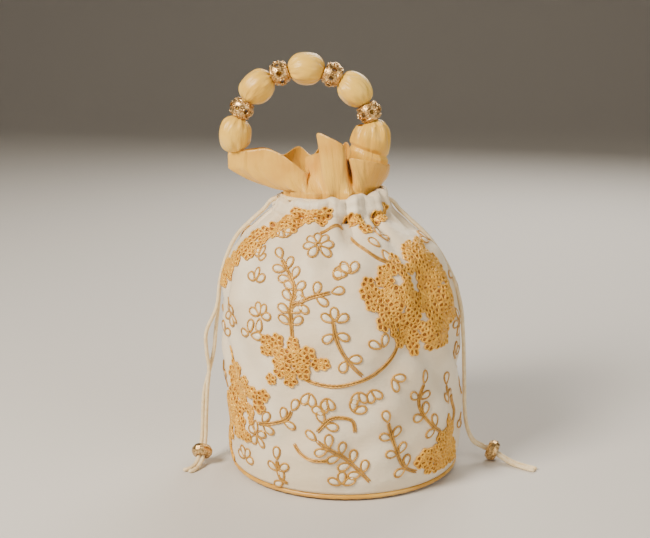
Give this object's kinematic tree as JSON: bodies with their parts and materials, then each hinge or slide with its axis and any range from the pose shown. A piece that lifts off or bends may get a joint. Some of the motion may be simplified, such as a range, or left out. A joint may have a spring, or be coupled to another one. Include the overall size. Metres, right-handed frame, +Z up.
{
  "type": "potli drawstring bag",
  "caption": "Round-based drawstring pouch in embroidered silk with a gathered satin frill, beaded cords and a stiff beaded ring handle.",
  "frame": {"origin": "centre of the round base's underside, on the surface that the bag stands on", "axes": "+Z up; -Y the front, which the camera faces; +X to the right"},
  "size_m": [0.2701, 0.1792, 0.3118],
  "materials": {
    "ivory_silk": "ivory silk with raised gold cord embroidery",
    "lining": "plain matt cotton",
    "gold_satin": "soft satin sheen",
    "gold_piping": "satin piping",
    "satin_cord": "cream satin cord",
    "antique_brass": "antique gold filigree",
    "card": "grey board",
    "wood": "bare turned wood"
  },
  "bodies": {
    "bag": {"outer_bag": "ivory_silk", "lining_bag": "lining", "base_cover": "gold_satin", "base_board": "card", "base_piping": "gold_piping", "frill": "gold_satin", "drawstring_left_in_casing": "satin_cord", "drawstring_right_in_casing": "satin_cord", "drawstring_left_front": "satin_cord", "drawstring_left_back": "satin_cord", "drawstring_right_front": "satin_cord", "drawstring_right_back": "satin_cord", "cord_bead_left": "antique_brass", "cord_bead_right": "antique_brass"},
    "handle": {"handle_cover": "gold_satin", "handle_cord": "satin_cord", "handle_core_1": "wood", "handle_core_2": "wood", "handle_core_3": "wood", "handle_core_4": "wood", "handle_core_5": "wood"},
    "spacer_1": {"handle_spacer_1": "antique_brass"},
    "spacer_2": {"handle_spacer_2": "antique_brass"},
    "spacer_3": {"handle_spacer_3": "antique_brass"},
    "spacer_4": {"handle_spacer_4": "antique_brass"}
  },
  "joints": [
    {"name": "handle_swing", "type": "hinge", "parent": "bag", "child": "handle", "pos_m": [-0.03, 0, 0.2387], "axis": [1, 0, 0], "range_deg": [-65, 65]},
    {"name": "spacer_1_turn", "type": "hinge", "parent": "handle", "child": "spacer_1", "pos_m": [-0.07625, 0, 0.27066], "axis": [-0.4399, 0, -0.898], "continuous": true},
    {"name": "spacer_2_turn", "type": "hinge", "parent": "handle", "child": "spacer_2", "pos_m": [-0.04787, 0, 0.2963], "axis": [-0.9379, 0, -0.3469], "continuous": true},
    {"name": "spacer_3_turn", "type": "hinge", "parent": "handle", "child": "spacer_3", "pos_m": [-0.00963, 0, 0.2953], "axis": [-0.9184, 0, 0.3955], "continuous": true},
    {"name": "spacer_4_turn", "type": "hinge", "parent": "handle", "child": "spacer_4", "pos_m": [0.01737, 0, 0.26821], "axis": [-0.3923, 0, 0.9198], "continuous": true}
  ]
}
